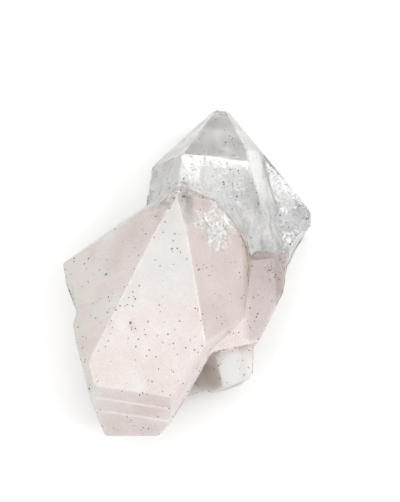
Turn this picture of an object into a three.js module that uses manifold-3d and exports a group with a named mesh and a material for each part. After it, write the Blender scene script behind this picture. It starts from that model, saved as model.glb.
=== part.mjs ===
// Himalayan quartz: a milky crystal growing up out of a clear one that lies flat, with small crystals at its foot.
// Millimetres. +Z up, +Y the way the points look, origin at the middle of the box on the surface it rests on.
// A crystal is given as a mineralogist gives one: the way its long axis points and how far each face lies out.
import * as THREE from "three";
import { ConvexGeometry } from "three/addons/geometries/ConvexGeometry.js";
import { mergeVertices } from "three/addons/utils/BufferGeometryUtils.js";
import Module from "manifold-3d";

const wasm = await Module();
wasm.setup();

// Quartz angles, in degrees between a face's normal and the long axis
const PRISM = 90;
const RHOMB = 51.79;

// Where each of the six sides looks round the axis, in degrees from the uppermost one toward the right
const AROUND = { top: 0, upperRight: 60, lowerRight: 120, bottom: 180, lowerLeft: 240, upperLeft: 300 };

// Driving dimensions
const milkyTip = new THREE.Vector3(0, 0, 66);
const milkyHeading = 11;
const milkyPitch = 53;
const milkyRoll = 3.3;
const milkyTopFace = 48.7;
const clearHeading = 3.8;
const clearPitch = 3;
const clearTopFace = 23.3;
const clearLeftFace = 22.6;
const ledgeRise = 0.4;
const ledgeSpacing = 3.2;
const hillockSlope = 13;
const scoopRadius = 14;
const rootInset = 2.5;

const rad = THREE.MathUtils.degToRad;

// A unit vector from a compass heading, clockwise from +Y, and a pitch above the horizontal
function direction(heading, pitch) {
  const flat = Math.cos(rad(pitch));
  return new THREE.Vector3(Math.sin(rad(heading)) * flat, Math.cos(rad(heading)) * flat, Math.sin(rad(pitch)));
}

// A face that looks along a heading and pitch and holds a point
function faceAt(heading, pitch, point) {
  const normal = direction(heading, pitch);
  return { normal, distance: normal.dot(point) };
}

// The faces of one quartz crystal. A prism's distance is from the axis and a cap's from the apex.
// turned gives the degrees by which growth has turned a side round the axis.
function quartzFaces({ apex, heading, pitch, roll = 0, caps = {}, prisms = {}, turned = {}, length }) {
  const axis = direction(heading, pitch);
  const up = direction(heading, pitch + 90).applyAxisAngle(axis, rad(roll));
  const right = new THREE.Vector3().crossVectors(axis, up);
  const face = (polar, side, distance) => {
    const around = rad(AROUND[side] + (turned[side] ?? 0));
    const normal = axis.clone().multiplyScalar(Math.cos(rad(polar)));
    normal.addScaledVector(up, Math.sin(rad(polar)) * Math.cos(around));
    normal.addScaledVector(right, Math.sin(rad(polar)) * Math.sin(around));
    return { normal, distance: normal.dot(apex) + distance };
  };
  const ring = (polar, distances) => Object.entries(distances).map(([side, distance]) => face(polar, side, distance));
  const butt = { normal: axis.clone().negate(), distance: length - axis.dot(apex) };
  return [...ring(RHOMB, caps), ...ring(PRISM, prisms), butt];
}

// The convex solid behind a set of faces: its corners are where three faces meet and no other cuts them off
function solidBehind(faces) {
  const slack = 1e-4;
  const corners = [];
  for (let i = 0; i < faces.length; i++) {
    for (let j = i + 1; j < faces.length; j++) {
      for (let k = j + 1; k < faces.length; k++) {
        const three = [faces[i], faces[j], faces[k]];
        const rows = new THREE.Matrix3().set(...three.flatMap((f) => f.normal.toArray()));
        if (Math.abs(rows.determinant()) < slack) continue;
        const corner = new THREE.Vector3(...three.map((f) => f.distance)).applyMatrix3(rows.invert());
        if (!faces.every((f) => f.normal.dot(corner) <= f.distance + slack)) continue;
        if (!corners.some((other) => other.distanceTo(corner) < 10 * slack)) corners.push(corner);
      }
    }
  }
  return toSolid(new ConvexGeometry(corners));
}

// A closed geometry as a solid that can be joined and cut
function toSolid(geometry) {
  const plain = geometry.clone();
  plain.deleteAttribute("normal");
  plain.deleteAttribute("uv");
  const merged = mergeVertices(plain, 1e-4);
  const vertProperties = new Float32Array(merged.attributes.position.array);
  const triVerts = new Uint32Array(merged.index.array);
  return new wasm.Manifold(new wasm.Mesh({ numProp: 3, vertProperties, triVerts }));
}

function toGeometry(solid) {
  const { vertProperties, triVerts } = solid.getMesh();
  const geometry = new THREE.BufferGeometry();
  geometry.setAttribute("position", new THREE.BufferAttribute(vertProperties, 3));
  geometry.setIndex(new THREE.BufferAttribute(triVerts, 1));
  return geometry;
}

// A face that holds the edge from start to end and looks as nearly as it can along a heading and pitch
function faceAlong(start, end, heading, pitch) {
  const edge = end.clone().sub(start).normalize();
  const look = direction(heading, pitch);
  const normal = look.addScaledVector(edge, -look.dot(edge)).normalize();
  return { normal, distance: normal.dot(start) };
}

const floorFace = { normal: new THREE.Vector3(0, 0, -1), distance: 0 };

// Places measured from the milky crystal's tip
const fromTip = (x, y, z) => milkyTip.clone().add(new THREE.Vector3(x, y, z));
const clearApex = fromTip(16.6, 52.6, -53);

const all = (distances, change) =>
  Object.fromEntries(Object.entries(distances).map(([side, distance]) => [side, distance + change]));

// A crystal with growth ledges: each ledge is a slightly wider, slightly shorter copy of the one above it
function ledgedCrystal(point, walls, ledges) {
  let solid = solidBehind([...quartzFaces(point), ...walls, floorFace]);
  for (let i = 1; i <= ledges; i++) {
    const wider = { ...point, prisms: all(point.prisms, i * ledgeRise), caps: all(point.caps, -i * ledgeSpacing) };
    solid = solid.add(solidBehind([...quartzFaces(wider), ...walls, floorFace]));
  }
  return solid;
}

const milkyPoint = {
  apex: milkyTip,
  heading: milkyHeading,
  pitch: milkyPitch,
  roll: milkyRoll,
  caps: { top: 0, upperRight: 0, lowerRight: 6.8, bottom: 0.6, lowerLeft: 0, upperLeft: 0 },
  prisms: { top: milkyTopFace, upperRight: 35.3, lowerRight: 28.6, bottom: 32, lowerLeft: 37, upperLeft: 44 },
  turned: { upperLeft: 3.5, upperRight: -3.6 },
  length: 134,
};

const clearPoint = {
  apex: clearApex,
  heading: clearHeading,
  pitch: clearPitch,
  caps: { top: 0, upperRight: 0, lowerRight: 0, bottom: 0, lowerLeft: 0, upperLeft: 0 },
  prisms: { top: clearTopFace, bottom: 30, lowerLeft: clearLeftFace, upperLeft: clearLeftFace },
  length: 107,
};

// The milky crystal's broken left side and foot
const leftWall = faceAlong(fromTip(-45, -19, -33), fromTip(-43, -30.8, -29.3), -99, -12);
const lowerLeftWall = faceAlong(fromTip(-40.9, -50, -24), fromTip(-34.2, -82.2, -31.9), -97, -5);
const footWall = faceAt(179, -20, fromTip(-33, -87.2, -39.4));
const underWall = faceAt(122, -25, fromTip(1.6, -78, -33));
const footSide = faceAt(115, -25, fromTip(-1.2, -78, -33));

function milkyCrystal() {
  const walls = [leftWall, lowerLeftWall, footWall, underWall];
  return ledgedCrystal(milkyPoint, walls, 2);
}

// The broken right side: the shoulder of the clear crystal, then the milky flank down to the foot
const shoulderWalls = [faceAt(93.9, -8, fromTip(51.6, 7.4, -54)), faceAt(117.1, -8, fromTip(50.8, -2.2, -48))];
const flankWalls = [faceAt(100.6, -8, fromTip(41.9, -20.6, -35)), faceAt(117, -8, fromTip(39.8, -32.1, -36))];

function clearCrystal() {
  const brokenTip = faceAt(0, 10, clearApex.clone().add(new THREE.Vector3(0, -4, 0)));
  const steepRight = faceAt(74.2, 22.1, fromTip(26.9, 20.5, -31.3));
  return ledgedCrystal(clearPoint, [brokenTip, steepRight, ...flankWalls], 2);
}

// The low shoulder on the clear crystal's right, under the same caps
const { prisms, ...capsOnly } = clearPoint;
const shoulderFaces = [
  faceAt(42.8, 69.4, fromTip(33.3, 31.6, -54)),
  ...quartzFaces(capsOnly),
  faceAt(46, -4, fromTip(34.4, 31.6, -54)),
  faceAt(57.5, -8, fromTip(43.8, 20.1, -54)),
  ...shoulderWalls,
  faceAt(-90, 0, fromTip(12, 0, -54)),
  faceAt(180, 0, fromTip(20, -30, -54)),
  floorFace,
];

const flankEnd = faceAt(165, -10, fromTip(27, -52, -40));

function milkyFlank() {
  const top = faceAt(95, 63, fromTip(26.8, -30.8, -27.9));
  const sides = [flankEnd, faceAt(-90, 0, fromTip(6, -30, -54)), ...flankWalls, floorFace];
  const step = faceAt(100, 78, fromTip(27, -12, -30.5));
  return solidBehind([top, faceAt(8, 40, fromTip(30, -17, -33)), ...sides]).add(
    solidBehind([step, faceAt(2, 30, fromTip(28, -8.2, -32.8)), faceAt(80, 20, fromTip(33, -12, -33)), ...sides]),
  );
}

// The small crystals at the foot: a block with a bright and a dark face, and a narrow crystal lying down its right side
function footCrystals() {
  const corner = fromTip(13.5, -56.6, -28.5);
  const low = fromTip(16.9, -69.3, -37.5);
  const block = solidBehind([
    faceAt(150.5, 54.6, corner),
    faceAlong(corner, low, 228, 22),
    faceAt(98, -4, fromTip(26.6, -60, -36)),
    faceAt(159, -12, low),
    faceAt(196, -20, fromTip(12, -69.4, -44)),
    faceAt(-90, -24, fromTip(4, -66, -44)),
    faceAt(0, 0, fromTip(10, -46, -50)),
    faceAt(95, 63, fromTip(26.8, -30.8, -28.5)),
    floorFace,
  ]);
  const narrow = solidBehind([
    ...quartzFaces({
      apex: fromTip(25.6, -66.4, -39.6),
      heading: 182,
      pitch: -30,
      roll: 14,
      caps: { top: -0.5, upperRight: 0, lowerRight: 0.4, bottom: 0.8, lowerLeft: 0, upperLeft: 0.2 },
      prisms: { top: 1.9, upperRight: 2.4, lowerRight: 2.2, bottom: 2.6, lowerLeft: 2.4, upperLeft: 2.1 },
      length: 19,
    }),
    floorFace,
  ]);
  return block.add(narrow);
}

// The rock that joins the milky crystal to its flank under the small crystals, set in from the flank's broken wall
function footRoot() {
  return solidBehind([
    faceAt(170, 58, fromTip(16, -58, -47)),
    faceAt(160, -16, fromTip(17, -63.5, -52)),
    ...flankWalls.map((wall) => ({ ...wall, distance: wall.distance - rootInset })),
    faceAt(-90, 0, fromTip(-17, -60, -60)),
    faceAt(0, 0, fromTip(10, -44, -60)),
    floorFace,
  ]);
}

// A low three-sided growth hillock standing on a face, its lowest edges sunk in the face
function hillock(face, spot, rise, turn) {
  const side = new THREE.Vector3(0, 0, 1).cross(face.normal).normalize();
  const peak = spot.clone().addScaledVector(face.normal, face.distance - face.normal.dot(spot) + rise);
  const slopes = [0, 120, 240].map((angle) => {
    const away = side.clone().applyAxisAngle(face.normal, rad(angle + turn));
    const normal = face.normal.clone().multiplyScalar(Math.cos(rad(hillockSlope)));
    normal.addScaledVector(away, Math.sin(rad(hillockSlope)));
    return { normal, distance: normal.dot(peak) };
  });
  const under = face.normal.clone().negate();
  return solidBehind([...slopes, { normal: under, distance: under.dot(peak) + rise + 0.3 }]);
}

// The same sequence of numbers from 0 to 1 every time
let seed = 20;
function chance(from = 0, to = 1) {
  seed = (seed * 16807) % 2147483647;
  return from + ((to - from) * seed) / 2147483647;
}

// Hillocks scattered on one of a solid's faces, cut off at the face's edges
function hillocksOn(faces, which, middle, spread, count, lowest, highest) {
  const face = faces[which];
  const side = new THREE.Vector3(0, 0, 1).cross(face.normal).normalize();
  const up = face.normal.clone().cross(side);
  const grown = Array.from({ length: count }, () => {
    const angle = chance(0, 2 * Math.PI);
    const out = spread * Math.sqrt(chance());
    const spot = middle.clone().addScaledVector(side, out * Math.cos(angle));
    spot.addScaledVector(up, out * Math.sin(angle));
    return hillock(face, spot, chance(lowest, highest), chance(-12, 12));
  });
  const raised = { ...face, distance: face.distance + 2 };
  return wasm.Manifold.union(grown).intersect(solidBehind(faces.with(which, raised)));
}

// A shell-shaped hollow, as quartz breaks: deep is how far it goes in under the face
function scoop(face, spot, radius, deep) {
  const middle = spot.clone().addScaledVector(face.normal, face.distance - face.normal.dot(spot) + radius - deep);
  const ball = new THREE.IcosahedronGeometry(1, 7);
  ball.scale(radius * chance(0.9, 1.3), radius * chance(0.9, 1.3), radius);
  ball.applyQuaternion(new THREE.Quaternion().setFromUnitVectors(new THREE.Vector3(0, 0, 1), face.normal));
  return toSolid(ball.translate(...middle.toArray()));
}

// Hollows over a broken wall, below the line between two of its points
function scoopsUnder(face, start, end, drop, count) {
  return Array.from({ length: count }, () => {
    const spot = start.clone().lerp(end, chance());
    spot.z -= chance(0, drop);
    return scoop(face, spot, scoopRadius * chance(0.8, 1.8), chance(0.5, 1.5));
  });
}

// The step bitten out of the milky crystal's left edge, which runs out down the wall
function leftNotch() {
  const corner = fromTip(-38.9, -42.9, -24.4);
  return solidBehind([
    faceAt(8, -38, fromTip(-42, -30.8, -29)),
    faceAt(79.5, 1, corner),
    faceAt(109, 1, corner),
    faceAt(-90, 0, fromTip(-62, 0, 0)),
    faceAt(180, 0, fromTip(0, -62, 0)),
    faceAt(0, 90, fromTip(0, 0, 0)),
    faceAt(0, -90, fromTip(0, 0, -milkyTip.z + 9)),
  ]);
}

// The corner broken off the milky crystal's foot, where the small crystals stand
function footCorner() {
  const facing = (face) => ({ normal: face.normal.clone().negate(), distance: -face.distance });
  return solidBehind([
    facing(footSide),
    facing(flankEnd),
    faceAt(90, 0, fromTip(60, 0, 0)),
    faceAt(180, 0, fromTip(0, -100, 0)),
    faceAt(0, 90, fromTip(0, 0, 5)),
    faceAt(0, -90, fromTip(0, 0, -milkyTip.z - 5)),
  ]);
}

const grown = wasm.Manifold.union([
  milkyCrystal(),
  clearCrystal(),
  solidBehind(shoulderFaces),
  milkyFlank(),
  hillocksOn(quartzFaces(milkyPoint), 1, fromTip(15, -9, -15), 10, 26, 0.12, 0.42),
  hillocksOn(quartzFaces(milkyPoint), 1, fromTip(14, -34, -16), 12, 7, 0.05, 0.12),
  hillocksOn(quartzFaces(milkyPoint), 5, fromTip(-14, -14, -12), 10, 8, 0.05, 0.14),
  hillocksOn(shoulderFaces, 0, fromTip(43, -1, -48), 9, 24, 0.3, 0.9),
]);

const broken = wasm.Manifold.union([
  leftNotch(),
  footCorner(),
  ...scoopsUnder(leftWall, fromTip(-43, -22, -40), fromTip(-38, -56, -38), 22, 11),
  ...scoopsUnder(lowerLeftWall, fromTip(-38, -50, -38), fromTip(-32, -84, -46), 18, 11),
  ...scoopsUnder(footWall, fromTip(-34, -84, -46), fromTip(-4, -84, -46), 18, 9),
  ...scoopsUnder(footSide, fromTip(3, -76, -40), fromTip(12, -62, -40), 18, 6),
  ...scoopsUnder(shoulderWalls[1], fromTip(50, -4, -56), fromTip(42, -18, -54), 8, 8),
  ...scoopsUnder(flankWalls[0], fromTip(42, -18, -42), fromTip(40, -31, -42), 20, 9),
  ...scoopsUnder(flankWalls[1], fromTip(39, -33, -42), fromTip(31, -49, -42), 20, 10),
]);

const cluster = wasm.Manifold.union([grown.subtract(broken), footRoot(), footCrystals()]);
const geometry = toGeometry(cluster);
geometry.computeBoundingBox();
const { min, max } = geometry.boundingBox;
geometry.translate(-(min.x + max.x) / 2, -(min.y + max.y) / 2, -min.z);

const quartz = new THREE.MeshStandardMaterial({ color: 0xe9e2e0, roughness: 0.25, metalness: 0 });
const body = new THREE.Mesh(geometry, quartz);
body.name = "quartz_crystal";

const group = new THREE.Group();
group.add(body);

export default group;
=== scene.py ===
"""Himalayan quartz: a milky crystal grown out of a clear one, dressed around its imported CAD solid."""
import math
import random

import bmesh
import bpy
from mathutils import Matrix, Vector, noise
from mathutils.bvhtree import BVHTree


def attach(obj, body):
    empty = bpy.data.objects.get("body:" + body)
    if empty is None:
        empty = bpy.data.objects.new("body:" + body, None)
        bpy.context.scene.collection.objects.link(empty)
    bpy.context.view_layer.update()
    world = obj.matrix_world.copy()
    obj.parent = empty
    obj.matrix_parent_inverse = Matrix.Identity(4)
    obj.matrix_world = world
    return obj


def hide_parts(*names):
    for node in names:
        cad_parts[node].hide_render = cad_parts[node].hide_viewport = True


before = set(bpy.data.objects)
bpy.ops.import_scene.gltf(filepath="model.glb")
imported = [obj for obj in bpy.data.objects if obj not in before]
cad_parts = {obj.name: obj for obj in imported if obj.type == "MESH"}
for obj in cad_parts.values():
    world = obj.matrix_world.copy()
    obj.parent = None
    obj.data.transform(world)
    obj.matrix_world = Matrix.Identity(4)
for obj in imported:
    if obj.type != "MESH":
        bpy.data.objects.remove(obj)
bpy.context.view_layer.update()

bl_info = {
    "name": "Himalayan quartz crystal",
    "version": (1, 0, 0),
    "blender": (4, 5, 0),
    "location": "View3D > Sidebar > Quartz",
    "description": "Builds a quartz cluster with a clear skin, a milky core, veils and mineral specks",
    "category": "Add Mesh",
}

MM = 0.001
SOLID = "quartz_crystal"
BODY = "root"

# Places in the CAD frame's millimetres
MILKY_TIP = Vector((-3.56, 18.77, 66.0))

# Outward directions of the faces that are named below
MILKY_FRONT = Vector((-0.004, -0.258, 0.966))
MILKY_LEFT = Vector((-0.618, 0.116, 0.777))
MILKY_RIGHT = Vector((0.677, -0.075, 0.733))

# Where the milky crystal ends inside the clear one: each face's outward direction and its distance past the tip
MILKY_BACK = (
    ((0.146, 0.989, 0.022), 0.2),
    ((-0.564, 0.776, 0.282), -0.4),
    ((0.781, 0.578, 0.234), 6.2),
    ((0.096, 0.794, -0.601), 31.0),
    ((-0.808, 0.523, -0.27), 36.0),
    ((0.904, 0.271, -0.33), 28.0),
)

# Patches of crowded growth hillocks that look like sugar: middle and reach
SUGAR = ((Vector((11, 7.5, 51.5)), 11.0), (Vector((37.2, 14, 19.6)), 13.0))

# Where dark grains crowd together: middle and reach
GRAIN_NESTS = (
    (Vector((34, -5, 33)), 7.0),
    (Vector((-1, 16, 62.5)), 4.0),
    (Vector((11, -39, 39)), 3.5),
    (Vector((36, 2, 20)), 6.0),
)

# The yellow-brown seam down the milky crystal's right outline, and the dirty ledge above the small crystals
SEAM = [
    Vector(at)
    for at in (
        (10.9, 19.8, 52.7), (13.6, 17.4, 50.1), (16.3, 14.9, 47.3), (18, 12.7, 45.5), (19.9, 9.4, 43.4),
        (21.4, 5.1, 41.3), (23.2, 1.7, 39.4), (23.6, -3, 38.6), (23.8, -12, 37.9),
    )
]
LEDGE = [Vector((7.4, -41, 43)), Vector((10.3, -39.2, 38.6)), Vector((13.2, -38.6, 41.5))]

# The long axes of the two large crystals, which growth lines run square to
MILKY_AXIS = Vector((0.114, 0.591, 0.799))
CLEAR_AXIS = Vector((-0.17, 0.984, 0.05))


def colour(hexa):
    """An sRGB hex colour as the linear RGBA that Blender's shaders take"""
    parts = [int(hexa[i : i + 2], 16) / 255 for i in (1, 3, 5)]
    return (*[c / 12.92 if c <= 0.04045 else ((c + 0.055) / 1.055) ** 2.4 for c in parts], 1.0)


def fade(x, start, end):
    """0 before start, 1 after end, and smooth between them"""
    t = min(max((x - start) / (end - start), 0.0), 1.0)
    return t * t * (3 - 2 * t)


def in_milky(at):
    """Whether a place belongs to the milky crystal, its flank or its foot"""
    return at.y < 1 or all((at - MILKY_TIP).dot(Vector(n)) < d + 0.8 for n, d in MILKY_BACK)


def near(at, spots):
    """How close a place is to the nearest of some spots, 1 in its middle and 0 out of its reach"""
    return max(1 - fade((at - middle).length, 0.4 * reach, reach) for middle, reach in spots)


def settings():
    return bpy.context.scene.quartz


class QuartzSettings(bpy.types.PropertyGroup):
    facet_detail: bpy.props.FloatProperty(
        name="Facet detail", description="Longest mesh edge on the crystal faces", default=1.5 * MM, unit="LENGTH"
    )
    sugar_detail: bpy.props.FloatProperty(
        name="Sugar detail", description="Longest mesh edge on the sugary patches", default=0.55 * MM, unit="LENGTH"
    )
    clear_skin: bpy.props.FloatProperty(
        name="Clear skin", description="Depth of clear quartz over the milky core", default=0.55 * MM, unit="LENGTH"
    )
    specks: bpy.props.IntProperty(name="Specks", description="How many dark mineral grains", default=900, min=0)
    quartz: bpy.props.FloatVectorProperty(
        name="Quartz", description="Colour of the clear quartz", default=colour("#FCFCFB"), size=4, subtype="COLOR"
    )
    milk: bpy.props.FloatVectorProperty(
        name="Milk", description="Colour of the milky core", default=colour("#FFFAF8"), size=4, subtype="COLOR"
    )
    grain: bpy.props.FloatVectorProperty(
        name="Grain", description="Colour of the dark grains", default=colour("#2B2522"), size=4, subtype="COLOR"
    )


class StageSettings(bpy.types.PropertyGroup):
    floor: bpy.props.FloatVectorProperty(
        name="Floor", description="Colour of the floor", default=colour("#E4E4E3"), size=4, subtype="COLOR"
    )
    sky: bpy.props.FloatProperty(name="Sky", description="Strength of the even light all round", default=0.72, min=0)


def add(tree, kind, inputs=None, **values):
    """Adds a node with its settings, and fills its inputs from values or from other nodes' sockets"""
    node = tree.nodes.new("ShaderNode" + kind)
    for key, value in values.items():
        setattr(node, key, value)
    for key, value in (inputs or {}).items():
        if isinstance(value, bpy.types.NodeSocket):
            tree.links.new(value, node.inputs[key])
        else:
            node.inputs[key].default_value = value
    return node


def new_material(name):
    """An empty material with its output node"""
    material = bpy.data.materials.new(name)
    material.use_nodes = True
    material.node_tree.nodes.clear()
    return material, material.node_tree, add(material.node_tree, "OutputMaterial")


def clear_quartz():
    """Rock crystal, grown in water: glassy faces with satin patches where growth was fast or rock broke away"""
    material, tree, output = new_material("clear quartz")
    place = add(tree, "TexCoord").outputs["Object"]
    rough = add(tree, "Attribute", attribute_name="rough").outputs["Fac"]
    # Satin bloom that comes and goes over about 6 mm
    bloom = add(tree, "TexNoise", {"Vector": place, "Scale": 1 / (6 * MM), "Detail": 4.0, "Roughness": 0.6})
    bloomed = add(
        tree,
        "MapRange",
        {"Value": bloom.outputs["Fac"], "From Min": 0.3, "From Max": 0.7, "To Min": 0.07, "To Max": 0.15},
    )
    roughness = add(tree, "Math", {0: bloomed.outputs["Result"], 1: rough}, operation="ADD", use_clamp=True)
    # Fine growth texture: 1.5 mm swells with 0.4 mm grain on them
    swell = add(tree, "TexNoise", {"Vector": place, "Scale": 1 / (1.5 * MM), "Detail": 4.0, "Roughness": 0.65})
    bump = add(tree, "Bump", {"Height": swell.outputs["Fac"], "Strength": 0.5, "Distance": 0.12 * MM})
    # Growth lines about 1 mm apart, square to each crystal's long axis; the attribute is the distance along it
    along = add(tree, "Attribute", attribute_name="along").outputs["Fac"]
    line = add(tree, "TexNoise", {"W": along, "Scale": 0.9, "Detail": 3.0, "Roughness": 0.6}, noise_dimensions="1D")
    lined = add(tree, "Attribute", attribute_name="lined").outputs["Fac"]
    height = add(tree, "Math", {0: line.outputs["Fac"], 1: lined}, operation="MULTIPLY")
    bump = add(
        tree,
        "Bump",
        {"Height": height.outputs[0], "Strength": 0.6, "Distance": 0.25 * MM, "Normal": bump.outputs[0]},
    )
    shader = add(
        tree,
        "BsdfPrincipled",
        {
            "Base Color": settings().quartz,
            "Transmission Weight": 1.0,
            "IOR": 1.544,
            "Roughness": roughness.outputs[0],
            "Normal": bump.outputs[0],
        },
    )
    absorb = add(tree, "VolumeAbsorption", {"Color": colour("#E6E6E6"), "Density": 6.0})
    tree.links.new(shader.outputs[0], output.inputs["Surface"])
    tree.links.new(absorb.outputs[0], output.inputs["Volume"])
    return material


def milky_quartz():
    """Milky quartz: clear quartz clouded by countless tiny drops of water, which scatter light softly"""
    material, tree, output = new_material("milky quartz")
    place = add(tree, "TexCoord").outputs["Object"]
    # This attribute is real milky whiteness plus painted light: paler on the front face, the lower left face and the
    # left edge, and on the small crystals at the foot against their shade
    zone = add(tree, "Attribute", attribute_name="milk_and_painted_light").outputs["Fac"]
    stain = add(tree, "Attribute", attribute_name="stain").outputs["Fac"]
    # Clouds 10 mm across, and flecks of half a millimetre in them
    cloud = add(tree, "TexNoise", {"Vector": place, "Scale": 1 / (10 * MM), "Detail": 3.0, "Roughness": 0.5})
    fleck = add(tree, "TexNoise", {"Vector": place, "Scale": 1 / (0.6 * MM), "Detail": 2.0, "Roughness": 0.6})
    cloudy = add(
        tree,
        "MapRange",
        {"Value": cloud.outputs["Fac"], "From Min": 0.34, "From Max": 0.66, "To Min": 0.2, "To Max": 0.5},
    )
    flecked = add(
        tree,
        "MapRange",
        {"Value": fleck.outputs["Fac"], "From Min": 0.36, "From Max": 0.64, "To Min": -0.18, "To Max": 0.18},
    )
    both = add(tree, "Math", {0: cloudy.outputs["Result"], 1: flecked.outputs["Result"]}, operation="ADD")
    white = add(tree, "Math", {0: both.outputs[0], 1: zone}, operation="ADD", use_clamp=True)
    pale = add(tree, "Mix", {0: white.outputs[0], 6: colour("#E5D8D4"), 7: settings().milk}, data_type="RGBA")
    # This attribute greys the flank as duller quartz with painted shade on it, greys the right face as painted
    # shade, and greys the far end
    grey_and_painted_shade = add(tree, "Attribute", attribute_name="grey_and_painted_shade").outputs["Fac"]
    rock = add(tree, "Attribute", attribute_name="rock").outputs["Fac"]
    bed = add(tree, "Mix", {0: both.outputs[0], 6: colour("#F1F3F4"), 7: colour("#FDFDFD")}, data_type="RGBA")
    plain = add(tree, "Mix", {0: rock, 6: pale.outputs[2], 7: bed.outputs[2]}, data_type="RGBA")
    dull = add(tree, "Mix", {0: grey_and_painted_shade, 6: plain.outputs[2], 7: colour("#CABDBA")}, data_type="RGBA")
    clear = add(tree, "Attribute", attribute_name="clear").outputs["Fac"]
    dull = add(tree, "Mix", {0: clear, 6: dull.outputs[2], 7: colour("#B6B8B0")}, data_type="RGBA")
    # Iron-stain brown at the dirty ledge; at the left edge and on the left-facing face of the small crystals at the
    # foot the same tan is a painted warm glow
    rusty = add(tree, "Mix", {0: stain, 6: dull.outputs[2], 7: colour("#A98C62")}, data_type="RGBA")
    shader = add(
        tree,
        "BsdfPrincipled",
        {
            "Base Color": rusty.outputs[2],
            "Roughness": 0.6,
            "IOR": 1.05,
            "Specular IOR Level": 0.0,
            "Subsurface Weight": 1.0,
            "Subsurface Radius": (1.0, 0.9, 0.85),
            "Subsurface Scale": 0.6 * MM,
        },
    )
    tree.links.new(shader.outputs[0], output.inputs["Surface"])
    return material


def veil():
    """A healed crack: a sheet of tiny fluid films in the clear quartz, each of them a silvery white flake"""
    material, tree, output = new_material("veil of fluid films")
    place = add(tree, "TexCoord").outputs["Object"]
    patch = add(tree, "TexNoise", {"Vector": place, "Scale": 1 / (0.8 * MM)})
    tint = add(tree, "Mix", {0: patch.outputs["Fac"], 6: colour("#FBFBFA"), 7: colour("#FFFFFF")}, data_type="RGBA")
    silver = add(tree, "Attribute", attribute_name="silver").outputs["Fac"]
    shader = add(tree, "BsdfPrincipled", {"Base Color": tint.outputs[2], "Roughness": 0.3, "Metallic": silver})
    tree.links.new(shader.outputs[0], output.inputs["Surface"])
    return material


def mineral():
    """Chlorite and iron oxide grains: dull dark crumbs"""
    material, tree, output = new_material("mineral grains")
    place = add(tree, "TexCoord").outputs["Object"]
    patch = add(tree, "TexNoise", {"Vector": place, "Scale": 1 / (4 * MM)})
    tint = add(tree, "Mix", {0: patch.outputs["Fac"], 6: settings().grain, 7: colour("#5A4636")}, data_type="RGBA")
    shader = add(tree, "BsdfPrincipled", {"Base Color": tint.outputs[2], "Roughness": 0.8})
    tree.links.new(shader.outputs[0], output.inputs["Surface"])
    return material


def limonite():
    """Iron stain that water left in cracks: earthy yellow-brown, thin"""
    material, tree, output = new_material("limonite stain")
    place = add(tree, "TexCoord").outputs["Object"]
    patch = add(tree, "TexNoise", {"Vector": place, "Scale": 1 / (1.5 * MM)})
    tint = add(tree, "Mix", {0: patch.outputs["Fac"], 6: colour("#D6B880"), 7: colour("#A3825A")}, data_type="RGBA")
    shader = add(tree, "BsdfPrincipled", {"Base Color": tint.outputs[2], "Roughness": 0.7})
    tree.links.new(shader.outputs[0], output.inputs["Surface"])
    return material


def pale_floor():
    """Matt painted board"""
    material, tree, output = new_material("matt painted board")
    shader = add(tree, "BsdfPrincipled", {"Base Color": bpy.context.scene.quartz_stage.floor, "Roughness": 0.7})
    tree.links.new(shader.outputs[0], output.inputs["Surface"])
    return material


def finish_piece(bm, name, material, stands_for=None):
    """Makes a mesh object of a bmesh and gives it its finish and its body"""
    mesh = bpy.data.meshes.new(name)
    bm.to_mesh(mesh)
    bm.free()
    mesh.materials.append(material)
    piece = bpy.data.objects.new(name, mesh)
    bpy.context.scene.collection.objects.link(piece)
    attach(piece, BODY)
    if stands_for:
        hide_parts(stands_for)
    return piece


def mark_edges(bm):
    """Smooths the shading of the faces and keeps their edges crisp"""
    for face in bm.faces:
        face.smooth = True
    for edge in bm.edges:
        edge.smooth = len(edge.link_faces) != 2 or edge.calc_face_angle(0) < math.radians(9)


def solid_copy(merge=0.01 * MM):
    """The CAD solid with its loose triangles joined and its flat faces rid of needless edges"""
    bm = bmesh.new()
    bm.from_mesh(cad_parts[SOLID].data)
    bmesh.ops.remove_doubles(bm, verts=bm.verts, dist=merge)
    bmesh.ops.dissolve_limit(bm, angle_limit=math.radians(0.4), verts=bm.verts, edges=bm.edges)
    mark_edges(bm)
    return bm


def sugar_at(at):
    """How sugary the surface is at a place, from 0 to 1"""
    ragged = 1 + 0.35 * noise.fractal(at / 5, 1.0, 2.0, 3)
    return max(1 - fade((at - middle).length * ragged, 0.5 * reach, reach) for middle, reach in SUGAR)


def divide(bm, longest, sugar_longest):
    """Cuts the faces finely, halving the long edges round after round, the sugary patches most"""

    def limit(edge):
        middle = (edge.verts[0].co + edge.verts[1].co) / 2
        return sugar_longest if sugar_at(middle / MM) > 0 else longest

    bmesh.ops.triangulate(bm, faces=bm.faces)
    for _ in range(7):
        long = [e for e in bm.edges if e.calc_length() > limit(e)]
        if not long:
            break
        bmesh.ops.subdivide_edges(bm, edges=long, cuts=1)
        bmesh.ops.triangulate(bm, faces=[f for f in bm.faces if len(f.verts) > 3])


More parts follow.
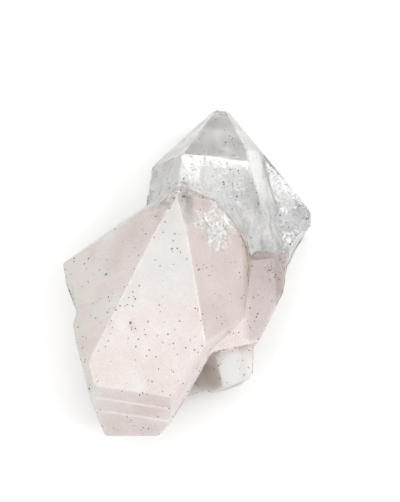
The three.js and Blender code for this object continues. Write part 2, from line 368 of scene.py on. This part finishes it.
class QUARTZ_OT_skin(bpy.types.Operator):
    """Build the clear outer quartz over the whole cluster"""

    bl_idname = "quartz.skin"
    bl_label = "Clear skin"

    def execute(self, context):
        bm = solid_copy(0.26 * MM)
        divide(bm, settings().facet_detail, settings().sugar_detail)
        bm.normal_update()
        walls = [v for v in bm.verts if 0.1 * MM < v.co.z and v.normal.z < 0.12 and in_milky(v.co / MM)]
        for _ in range(2):
            bmesh.ops.smooth_vert(bm, verts=walls, factor=0.5, use_axis_x=True, use_axis_y=True, use_axis_z=True)
        bm.normal_update()
        rough = bm.verts.layers.float.new("rough")
        along = bm.verts.layers.float.new("along")
        lined = bm.verts.layers.float.new("lined")
        for vert in bm.verts:
            at, normal = vert.co / MM, vert.normal
            milky = in_milky(at)
            axis = MILKY_AXIS if milky else CLEAR_AXIS
            vert[along] = at.dot(axis)
            vert[lined] = 1 - fade(abs(normal.dot(axis)), 0.15, 0.3)
            if at.z < 0.02:
                vert[rough] = 0.35
                continue
            broken = fade(-normal.z, -0.15, 0.1)
            sugar = sugar_at(at) * fade(normal.z, 0.1, 0.3)
            lift = 0.05 * noise.fractal(at / 8, 1.0, 2.0, 3) - 0.08
            lift += broken * (0.22 * noise.fractal(at / 3, 0.8, 2.0, 4) - 0.15)
            near_cell, next_cell = noise.voronoi(at / 2.0)[0][:2]
            lift += sugar * (0.7 * min(next_cell - near_cell, 0.45) - 0.35 + 0.12 * noise.fractal(at, 1.0, 2.0, 2))
            vert.co += normal * lift * MM
            cap = fade(normal.y, 0.5, 0.7) * fade(at.y, 36, 40)
            vert[rough] = 0.14 * cap + 0.12 * sugar + 0.1 * broken + 0.1 * milky
        low_end = [v for v in bm.verts if v.co.y < -44 * MM and v.co.z > 25 * MM]
        for _ in range(4):
            bmesh.ops.smooth_vert(bm, verts=low_end, factor=0.5, use_axis_x=True, use_axis_y=True, use_axis_z=True)
        edges = {v for e in bm.edges if not e.smooth for v in e.verts if v.co.z > 0.1 * MM}
        bmesh.ops.smooth_vert(bm, verts=list(edges), factor=0.35, use_axis_x=True, use_axis_y=True, use_axis_z=True)
        finish_piece(bm, "clear_skin", clear_quartz(), SOLID)
        return {"FINISHED"}


def convex_block(planes, size=400):
    """A block cut down by planes, each a direction and a point in millimetres that it passes through"""
    bm = bmesh.new()
    bmesh.ops.create_cube(bm, size=size * MM)
    for direction, point in planes:
        cut = bmesh.ops.bisect_plane(
            bm,
            geom=bm.verts[:] + bm.edges[:] + bm.faces[:],
            plane_co=point * MM,
            plane_no=direction,
            clear_outer=True,
        )
        rim = [g for g in cut["geom_cut"] if isinstance(g, bmesh.types.BMEdge)]
        if rim:
            bmesh.ops.holes_fill(bm, edges=rim)
    bmesh.ops.recalc_face_normals(bm, faces=bm.faces)
    return bm


def uneven_block(middle, facing, size, wave, depth):
    """A block with a wavy top, the uneven end of a milky zone; all lengths in millimetres"""
    bm = bmesh.new()
    count = round(size / 2.5)
    bmesh.ops.create_grid(bm, x_segments=count, y_segments=count, size=size / 2 * MM)
    for vert in bm.verts:
        vert.co.z = wave * MM * noise.fractal(vert.co / (7 * MM), 0.9, 2.0, 4)
    top = bm.faces[:]
    new = bmesh.ops.extrude_face_region(bm, geom=top, use_keep_orig=True)["geom"]
    for vert in new:
        if isinstance(vert, bmesh.types.BMVert):
            vert.co.z = -depth * MM
    turn = Vector(facing).to_track_quat("Z", "Y").to_matrix().to_4x4()
    bmesh.ops.transform(bm, matrix=Matrix.Translation(Vector(middle) * MM) @ turn, verts=bm.verts)
    bmesh.ops.recalc_face_normals(bm, faces=bm.faces)
    return bm


def scratch_object(bm, name):
    mesh = bpy.data.meshes.new(name)
    bm.to_mesh(mesh)
    bm.free()
    made = bpy.data.objects.new(name, mesh)
    bpy.context.scene.collection.objects.link(made)
    return made


def combine(base, other, how):
    """Joins or cuts one solid with another and removes the other"""
    change = base.modifiers.new("cut", "BOOLEAN")
    change.operation, change.solver, change.object = how, "EXACT", other
    result = bmesh.new()
    result.from_object(base, bpy.context.evaluated_depsgraph_get())
    for used in (base, other):
        mesh = used.data
        bpy.data.objects.remove(used)
        bpy.data.meshes.remove(mesh)
    return result


class QUARTZ_OT_core(bpy.types.Operator):
    """Build the milky quartz inside the leaning crystal, the flank and the foot"""

    bl_idname = "quartz.core"
    bl_label = "Milky core"

    def execute(self, context):
        back = [(Vector(n), MILKY_TIP + Vector(n) * d) for n, d in MILKY_BACK]
        flank = uneven_block((30, 3, 25), (-0.08, 0.99, 0.1), 120, 3.0, 110)
        root = uneven_block((3, 5, 5), (0.02, -0.03, 1), 190, 4.0, 30)
        milky_place = scratch_object(convex_block(back), "back")
        for other in (flank, root):
            milky_place = combine(milky_place, scratch_object(other, "more"), "UNION")
            milky_place = scratch_object(milky_place, "milky place")
        whole = solid_copy(0.26 * MM)
        whole_volume = whole.calc_volume()
        bm = combine(scratch_object(whole, "whole"), milky_place, "INTERSECT")
        if bm.calc_volume() > 0.9 * whole_volume:
            raise RuntimeError("The milky core fills the clear crystal too")
        bmesh.ops.remove_doubles(bm, verts=bm.verts, dist=0.01 * MM)
        mark_edges(bm)
        divide(bm, settings().facet_detail, settings().facet_detail)
        bm.normal_update()
        milk_and_painted_light = bm.verts.layers.float.new("milk_and_painted_light")
        stain = bm.verts.layers.float.new("stain")
        rock = bm.verts.layers.float.new("rock")
        grey_and_painted_shade = bm.verts.layers.float.new("grey_and_painted_shade")
        clear = bm.verts.layers.float.new("clear")
        for vert in bm.verts:
            at = vert.co / MM
            near_tip = 1 - fade((at - MILKY_TIP).length, 5, 20)
            depth = settings().clear_skin + (near_tip * 1.4 + sugar_at(at) * 0.5) * MM
            depth += 0.3 * MM * noise.fractal(at / 6, 1.0, 2.0, 3)
            front = fade(vert.normal.dot(MILKY_FRONT), 0.85, 0.98)
            upper = front * fade(at.y, -36, -8)
            vert[rock] = max(fade(at.y, 0, 8) * (1 - fade(at.z, 9, 12)), 0.5 * upper)
            # Greyer on the flank as duller quartz with painted shade on it, greyer on the right face as painted
            # shade, and greyer towards the far end
            flank = fade(at.x, 18, 25) * fade(at.y, -38, -30) * fade(at.z, 18, 26)
            right = fade(vert.normal.dot(MILKY_RIGHT), 0.9, 0.98)
            vert[grey_and_painted_shade] = max((0.8 + 0.2 * fade(at.y, -22, -6)) * flank, 0.26 * right, 0.3 * fade(at.y, 34, 42))
            clouded = fade(noise.fractal(at / 3, 1.0, 2.0, 3), -0.25, 0.35)
            vert[clear] = clouded * max(0.9 * near_tip * (1 - 0.8 * front), 0.45 * sugar_at(at) * in_milky(at))
            vert[clear] = max(vert[clear], 0.14 * upper)
            # Even milky whiteness, raised as painted light on the front face, the lower left face, the left edge and
            # the small crystals at the foot, which lie in shade
            low_left = fade(vert.normal.dot(MILKY_LEFT), 0.9, 0.98) * fade(-at.y, -4, 34)
            foot = near(at, [(Vector((8, -46, 28)), 9), (Vector((18, -43, 30)), 9)])
            vert[milk_and_painted_light] = 0.12 + max(0.12 * front, 0.3 * low_left, 0.5 * fade(-at.x, 24, 42), 0.9 * foot)
            # Real iron stain at the dirty ledge, and a tan painted warm glow along the left edge and on the
            # left-facing face of the small crystals at the foot
            patchy = fade(noise.fractal(at / 1.2, 1.0, 2.0, 3), -0.2, 0.3)
            painted_warm_glow = near(at, [(Vector((8, -46, 28)), 9)]) * fade(-vert.normal.x, 0.1, 0.4)
            vert[stain] = max(0.7 * patchy * near(at, [(LEDGE[1], 4)]), 0.12 * fade(-at.x, 28, 42), 0.4 * painted_warm_glow)
            vert.co -= vert.normal * depth * min(vert.calc_shell_factor(), 1.6)
        for _ in range(4):
            bmesh.ops.smooth_vert(bm, verts=bm.verts, factor=0.5, use_axis_x=True, use_axis_y=True, use_axis_z=True)
        finish_piece(bm, "milky_core", milky_quartz())
        return {"FINISHED"}


def scatter(places, make, batch=150):
    """Makes many small things, in batches that are joined at the end, because a full bmesh grows slowly"""
    joined = bmesh.new()
    for start in range(0, len(places), batch):
        part = bmesh.new()
        for matrix, size in places[start : start + batch]:
            make(part, matrix, size)
        mesh = bpy.data.meshes.new("batch")
        part.to_mesh(mesh)
        part.free()
        joined.from_mesh(mesh)
        bpy.data.meshes.remove(mesh)
    return joined


class QUARTZ_OT_specks(bpy.types.Operator):
    """Scatter dark mineral grains just under the faces"""

    bl_idname = "quartz.specks"
    bl_label = "Mineral specks"

    def execute(self, context):
        draw = random.Random(11)
        skin = bpy.data.objects["clear_skin"].data
        faces = [p for p in skin.polygons if p.center.z > 3 * MM]
        weights = []
        for face in faces:
            wall = 0.1 if face.normal.z < 0.3 and not in_milky(face.center / MM) else 1
            weights.append(face.area * wall * (1 + 9 * near(face.center / MM, GRAIN_NESTS)))
        chosen = draw.choices(faces, weights=weights, k=settings().specks)
        grains = []
        for face in chosen:
            size = draw.uniform(0.12, 0.3) * (1.4 if draw.random() < 0.2 else 1)
            spot = face.center - face.normal * (size + draw.uniform(0.03, 0.2)) * MM
            turn = Matrix.Rotation(draw.uniform(0, math.tau), 4, Vector([draw.gauss(0, 1) for _ in range(3)]))
            stretch = Matrix.Diagonal([draw.uniform(0.7, 1.3) for _ in range(3)]).to_4x4()
            grains.append((Matrix.Translation(spot) @ turn @ stretch, size * MM))
        bm = scatter(grains, lambda part, matrix, size: bmesh.ops.create_icosphere(
            part, subdivisions=1, radius=size, matrix=matrix
        ))
        finish_piece(bm, "mineral_specks", mineral())
        return {"FINISHED"}


def films(target, inside, corner, along, down, cell, missing, draw, shine, cover=0.25):
    """Adds a sheet of small films, torn where missing() is high and cut off near the crystal's surface"""
    wide, deep = round(along.length / cell), round(down.length / cell)
    bm = bmesh.new()
    bmesh.ops.create_grid(bm, x_segments=wide, y_segments=deep, size=0.5)
    facing = along.cross(down).normalized()
    torn = []
    for face in bm.faces:
        u, v = (face.calc_center_median() + Vector((0.5, 0.5, 0))).xy
        if missing(u * along.length, v * down.length, corner + along * u + down * v) > draw.random():
            torn.append(face)
    bmesh.ops.delete(bm, geom=torn, context="FACES")
    torn = []
    for vert in bm.verts:
        u, v = vert.co.x + 0.5, vert.co.y + 0.5
        spot = corner + along * u + down * v
        spot += facing * 0.25 * noise.fractal(spot / 2.5, 1.0, 2.0, 3)
        spot += (along.normalized() * draw.uniform(-0.3, 0.3) + down.normalized() * draw.uniform(-0.3, 0.3)) * cell
        vert.co = spot * MM
        away, normal, _, depth = inside.find_nearest(vert.co)
        if (vert.co - away).dot(normal) > 0 or depth < cover * MM:
            torn.append(vert)
    bmesh.ops.delete(bm, geom=torn, context="VERTS")
    mesh = bpy.data.meshes.new("films")
    bm.to_mesh(mesh)
    bm.free()
    start = len(target.verts)
    target.from_mesh(mesh)
    bpy.data.meshes.remove(mesh)
    silver = target.verts.layers.float.get("silver") or target.verts.layers.float.new("silver")
    for vert in list(target.verts)[start:]:
        vert[silver] = shine


class QUARTZ_OT_veils(bpy.types.Operator):
    """Lay sheets of tiny bright films inside the clear crystal"""

    bl_idname = "quartz.veils"
    bl_label = "Veils"

    def execute(self, context):
        draw = random.Random(7)
        skin = bmesh.new()
        skin.from_mesh(bpy.data.objects["clear_skin"].data)
        inside = BVHTree.FromBMesh(skin)
        skin.free()
        bm = bmesh.new()
        bm.verts.layers.float.new("silver")

        def band(u, v, spot):
            """Dense along the crystal's upper edge, fading away below it, and cracked at its left end"""
            left = 1 - fade(u, 6.5, 9.5)
            ragged = 0.8 + 0.7 * noise.fractal(spot / 1.6, 1.0, 2.0, 4)
            start, end = 0.7 + 5 * left, 6 + 10 * left
            cell, other = noise.voronoi(Vector((spot.x / 3, spot.y / 1.8, 0)))[0][:2]
            crackled = left * fade(v, 1.5, 4) * fade(noise.noise(spot / 3), -0.2, 0.1)
            if other - cell < 0.1 * crackled or (abs(9.2 + 0.5 * noise.noise(spot / 1.5) - u) < 0.2 and v < 5):
                return 1
            return min(fade(v, start, end) * 1.3 * ragged, 0.82)

        def wedge(u, v, spot):
            """Dense under the steep face, fading away down its length"""
            ragged = 0.7 + 0.8 * noise.fractal(spot / 1.6, 1.0, 2.0, 4)
            return 0.08 + fade(u, 19, 29) * 1.3 * ragged

        def haze(u, v, spot):
            return 0.52 + 0.6 * noise.fractal(spot / 7, 1.0, 2.0, 3)

        def wisp(u, v, spot):
            return 0.96 - 1.1 * noise.fractal(spot / 4.5, 1.0, 2.0, 4)

        def shoulder(u, v, spot):
            """Dense under the shoulder, fading away toward the sugary patch"""
            return 0.08 + 0.8 * fade(v, 18, 27) * (0.8 + 0.7 * noise.fractal(spot / 1.6, 1.0, 2.0, 4))

        def sugary(u, v, spot):
            """Flecks among the growth hillocks right of the milky tip"""
            return 1.02 - 0.4 * sugar_at(spot) * (1 + 3 * noise.fractal(spot / 1.1, 1.0, 2.0, 3))

        corner, across, along = Vector((-2.6, 42.4, 32.1)), Vector((28.5, -3.2, 1.7)), Vector((-1.6, -24, 1.7))
        films(bm, inside, corner, across, along, 0.3, band, draw, 0.48)
        corner, across, along = Vector((20.4, 46.5, 34.4)), Vector((8.4, -27.7, -1.4)), Vector((6.2, 2.7, -16.6))
        films(bm, inside, corner, across, along, 0.3, wedge, draw, 0.35)
        corner, across, along = Vector((27.2, 50, 10.9)), Vector((15.4, 4.1, -5.1)), Vector((8.4, -25.8, 5))
        films(bm, inside, corner, across, along, 0.3, shoulder, draw, 0.5, 0.5)
        corner, across, along = Vector((-0.5, 18.5, 61.9)), Vector((19.3, -2, -18)), Vector((-2, -24, -0.6))
        films(bm, inside, corner, across, along, 0.28, sugary, draw, 0.3, 0.12)
        corner, across, along = Vector((0, 41, 23)), Vector((27, 0, -2)), Vector((0, -38, -1))
        films(bm, inside, corner, across, along, 0.4, haze, draw, 0.15)
        corner, across, along = Vector((28, 26, 22.5)), Vector((21, 0, -5.5)), Vector((0, -26, -1))
        films(bm, inside, corner, across, along, 0.3, sugary, draw, 0.3, 0.15)
        # Fainter sheets deep in the crystal
        for _ in range(9):
            middle = Vector((draw.uniform(-8, 30), draw.uniform(10, 34), draw.uniform(8, 24)))
            along = Vector([draw.gauss(0, 1) for _ in range(3)]).normalized()
            down = along.cross(Vector([draw.gauss(0, 1) for _ in range(3)])).normalized()
            along, down = along * draw.uniform(16, 34), down * draw.uniform(12, 24)
            films(bm, inside, middle - along / 2 - down / 2, along, down, 0.45, wisp, draw, 0.4)
        finish_piece(bm, "veils", veil())
        return {"FINISHED"}


class QUARTZ_OT_rust(bpy.types.Operator):
    """Scatter rusty films along the milky crystal's right outline and under the ledge at its foot"""

    bl_idname = "quartz.rust"
    bl_label = "Rusty seam"

    def execute(self, context):
        draw = random.Random(5)
        skin = bmesh.new()
        skin.from_mesh(bpy.data.objects["clear_skin"].data)
        inside = BVHTree.FromBMesh(skin)
        skin.free()
        flakes = []
        for line, number, spread in ((SEAM, 420, 0.22), (LEDGE, 120, 0.7)):
            for _ in range(number):
                start = draw.randrange(len(line) - 1)
                spot = line[start].lerp(line[start + 1], draw.random()) + Vector((-0.5, 0, 0.6))
                spot += Vector([draw.gauss(0, spread) for _ in range(3)])
                away, normal, _, _ = inside.find_nearest(spot * MM)
                facing = normal + Vector([draw.gauss(0, 0.25) for _ in range(3)])
                turn = facing.to_track_quat("Z", "Y").to_matrix().to_4x4()
                place = Matrix.Translation(away - normal * draw.uniform(0.12, 0.4) * MM) @ turn
                flakes.append((place, draw.uniform(0.1, 0.24) * MM))
        bm = scatter(flakes, lambda part, matrix, size: bmesh.ops.create_circle(
            part, cap_ends=True, segments=6, radius=size, matrix=matrix
        ))
        finish_piece(bm, "rusty_films", limonite())
        return {"FINISHED"}


class QUARTZ_OT_stage(bpy.types.Operator):
    """Set up the floor, the soft lights and the camera"""

    bl_idname = "quartz.stage"
    bl_label = "Stage"

    def execute(self, context):
        scene = context.scene
        bm = bmesh.new()
        bmesh.ops.create_circle(bm, cap_ends=True, segments=96, radius=4)
        bmesh.ops.translate(bm, verts=bm.verts, vec=(0, 0, -0.05 * MM))
        floor = scratch_object(bm, "floor")
        floor.data.materials.append(pale_floor())

        world = bpy.data.worlds.new("even light")
        world.use_nodes = True
        world.node_tree.nodes["Background"].inputs["Color"].default_value = colour("#F6F6F7")
        world.node_tree.nodes["Background"].inputs["Strength"].default_value = scene.quartz_stage.sky
        scene.world = world

        for name, place, size, power in (
            ("key softbox", (-0.25, -0.35, 1.05), 1.6, 12.0),
            ("fill softbox", (0.9, -0.1, 0.65), 0.8, 8.0),
            ("back softbox", (-0.2, 0.9, 0.6), 0.6, 4.0),
        ):
            light = bpy.data.lights.new(name, "AREA")
            light.size, light.energy = size, power
            lamp = bpy.data.objects.new(name, light)
            lamp.location = place
            lamp.rotation_euler = (Vector(place) - Vector((0, 0, 0.03))).to_track_quat("Z", "Y").to_euler()
            scene.collection.objects.link(lamp)

        camera = bpy.data.cameras.new("camera")
        camera.lens, camera.sensor_width = 186.45, 36
        camera.clip_start, camera.clip_end = 0.01, 20
        eye = bpy.data.objects.new("camera", camera)
        eye.location, eye.rotation_euler = (0.0045, -0.28942, 0.9902), (math.radians(17), 0, 0)
        scene.collection.objects.link(eye)
        scene.camera = eye
        scene.view_settings.view_transform = "Standard"
        return {"FINISHED"}


PIECES = (
    QUARTZ_OT_skin, QUARTZ_OT_core, QUARTZ_OT_specks, QUARTZ_OT_veils, QUARTZ_OT_rust, QUARTZ_OT_stage
)


class QUARTZ_PT_panel(bpy.types.Panel):
    """Lists the cluster's pieces"""

    bl_label = "Quartz cluster"
    bl_space_type = "VIEW_3D"
    bl_region_type = "UI"
    bl_category = "Quartz"

    def draw(self, context):
        for group in (context.scene.quartz, context.scene.quartz_stage):
            for name in group.__annotations__:
                self.layout.prop(group, name)
        for piece in PIECES:
            self.layout.operator(piece.bl_idname)


CLASSES = (QuartzSettings, StageSettings, *PIECES, QUARTZ_PT_panel)


def register():
    for made in CLASSES:
        bpy.utils.register_class(made)
    bpy.types.Scene.quartz = bpy.props.PointerProperty(type=QuartzSettings)
    bpy.types.Scene.quartz_stage = bpy.props.PointerProperty(type=StageSettings)


def unregister():
    del bpy.types.Scene.quartz_stage
    del bpy.types.Scene.quartz
    for made in reversed(CLASSES):
        bpy.utils.unregister_class(made)


def main():
    register()
    for piece in PIECES:
        group, name = piece.bl_idname.split(".")
        getattr(getattr(bpy.ops, group), name)()


if __name__ == "__main__":
    main()
